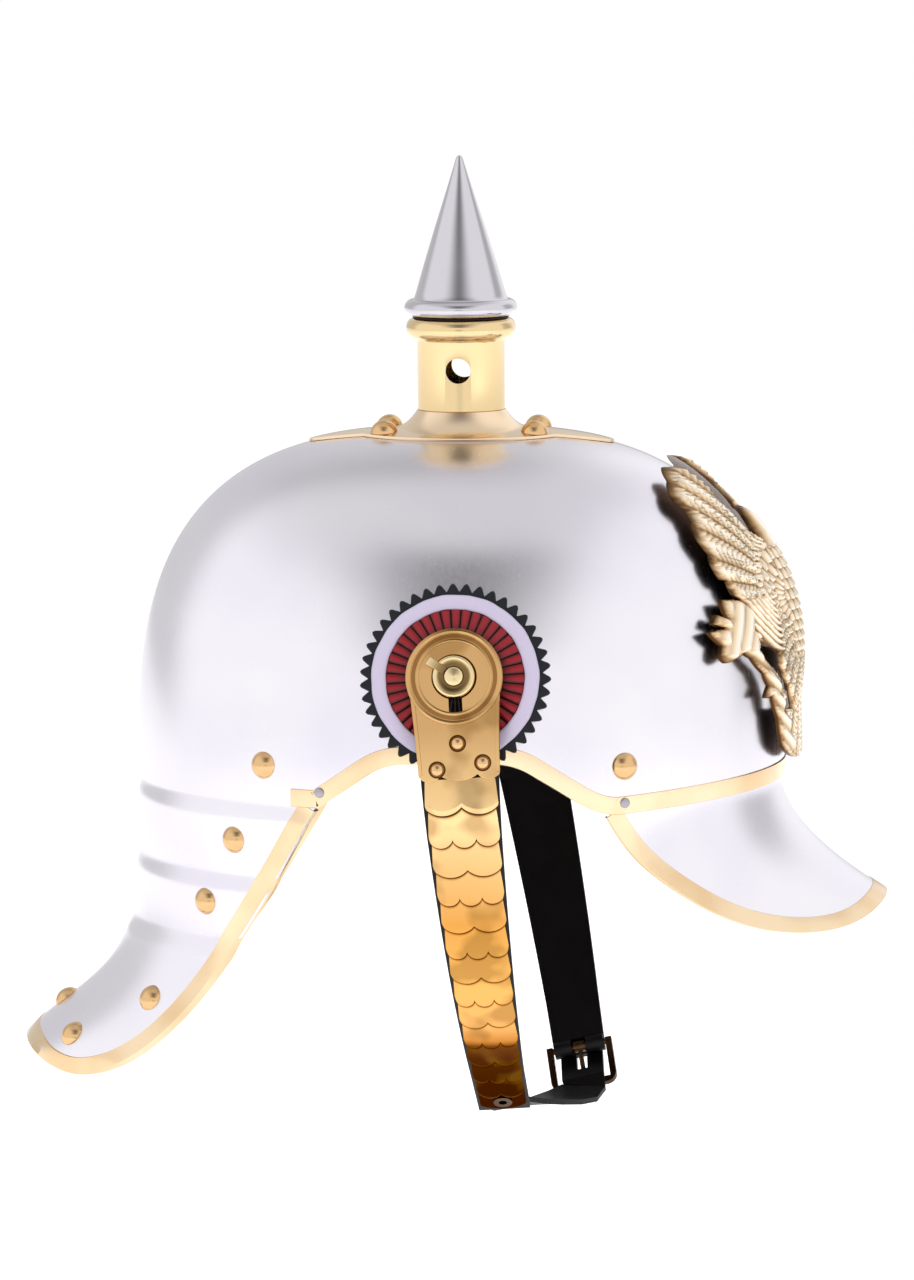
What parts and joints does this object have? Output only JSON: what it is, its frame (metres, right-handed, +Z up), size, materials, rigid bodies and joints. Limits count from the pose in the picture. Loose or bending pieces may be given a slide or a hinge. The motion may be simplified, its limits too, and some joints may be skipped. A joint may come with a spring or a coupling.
{
  "type": "pickelhaube",
  "caption": "Steel cavalry helmet with screw-off spike, lobster-tail neck guard, eagle plate, cockades and swinging brass chin scales with a buckle.",
  "frame": {"origin": "middle of the skull's rim, where the wearer's head passes into the helmet", "axes": "+X to the front (the visor), +Y to the wearer's left, +Z up along the spike"},
  "size_m": [0.3197, 0.2186, 0.3539],
  "materials": {
    "polished_steel": "polished sheet steel with faint brushing",
    "turned_steel": "turned steel, satin",
    "steel_pin": "plain steel",
    "dark_washer": "thin dark leather washer",
    "brass_edge": "pale polished brass strip",
    "brass_rivet": "polished brass",
    "brass_base": "pale polished brass sheet",
    "brass_neck": "polished turned brass",
    "brass_post": "dull cast brass",
    "gilt_brass": "pale gilt stamped brass",
    "scale_brass": "deep yellow brass, browned towards the lower end",
    "bronze_buckle": "darkened brass",
    "black_lacquer": "black enamelled metal",
    "white_lacquer": "white enamelled metal",
    "crimson_lacquer": "dark red enamelled metal, pleated",
    "black_leather": "smooth black leather",
    "brown_leather": "brown sweatband leather",
    "lace_leather": "thin leather lace"
  },
  "bodies": {
    "helmet": {"skull": "polished_steel", "visor": "polished_steel", "lame_upper": "polished_steel", "lame_lower": "polished_steel", "neck_guard": "polished_steel", "visor_edge": "brass_edge", "neck_guard_edge": "brass_edge", "ear_edge_right": "brass_edge", "ear_edge_left": "brass_edge", "brow_band": "brass_edge", "skull_rivets": "brass_rivet", "lame_rivets": "brass_rivet", "neck_guard_rivets": "brass_rivet", "ear_pins": "steel_pin", "spike_base_plate": "brass_base", "base_bolts": "brass_rivet", "base_nuts": "steel_pin", "spike_neck": "brass_neck", "side_posts": "brass_post", "side_post_nuts": "steel_pin", "cockade_disc_right": "black_lacquer", "cockade_disc_left": "black_lacquer", "cockade_ring_right": "white_lacquer", "cockade_ring_left": "white_lacquer", "cockade_centre_right": "crimson_lacquer", "cockade_centre_left": "black_lacquer", "front_plate": "gilt_brass", "front_plate_studs": "brass_rivet", "front_plate_nuts": "steel_pin", "sweatband": "brown_leather", "liner_fingers": "brown_leather", "liner_lace": "lace_leather"},
    "spike_lifter": {"spike_washer": "dark_washer"},
    "spike_screw": {"spike": "turned_steel"},
    "chin_right": {"head_plate_right": "scale_brass", "head_rivets_right": "brass_rivet", "chin_strap_right": "black_leather", "chin_scales_right": "scale_brass", "end_scale": "scale_brass", "end_eyelet": "brass_rivet", "chin_tongue": "black_leather"},
    "chin_left": {"head_plate_left": "scale_brass", "head_rivets_left": "brass_rivet", "chin_strap_left": "black_leather", "chin_scales_left": "scale_brass", "buckle_frame": "bronze_buckle"},
    "prong": {"buckle_prong": "bronze_buckle"}
  },
  "joints": [
    {"name": "spike_lift", "type": "slide", "parent": "helmet", "child": "spike_lifter", "axis": [0, 0, 1], "range_m": [0, 0.011]},
    {"name": "spike_turn", "type": "hinge", "parent": "spike_lifter", "child": "spike_screw", "pos_m": [0.0012, 0, 0.167], "axis": [0, 0, 1], "range_deg": [0, 1981]},
    {"name": "chin_right_swing", "type": "hinge", "parent": "helmet", "child": "chin_right", "pos_m": [0.0055, -0.09898, 0.0477], "axis": [0, -1, 0], "range_deg": [-30, 25]},
    {"name": "chin_left_swing", "type": "hinge", "parent": "helmet", "child": "chin_left", "pos_m": [0.0055, 0.09898, 0.0477], "axis": [0, -1, 0], "range_deg": [-30, 25]},
    {"name": "prong_lift", "type": "hinge", "parent": "chin_left", "child": "prong", "pos_m": [0.04076, 0.03878, -0.11137], "axis": [0.9763, 0, 0.2164], "range_deg": [0, 28]}
  ],
  "couplings": [
    {"joint": "spike_turn", "follows": "spike_lift", "rad_per_m": 3141.6},
    {"joint": "chin_left_swing", "follows": "chin_right_swing", "ratio": 1}
  ]
}
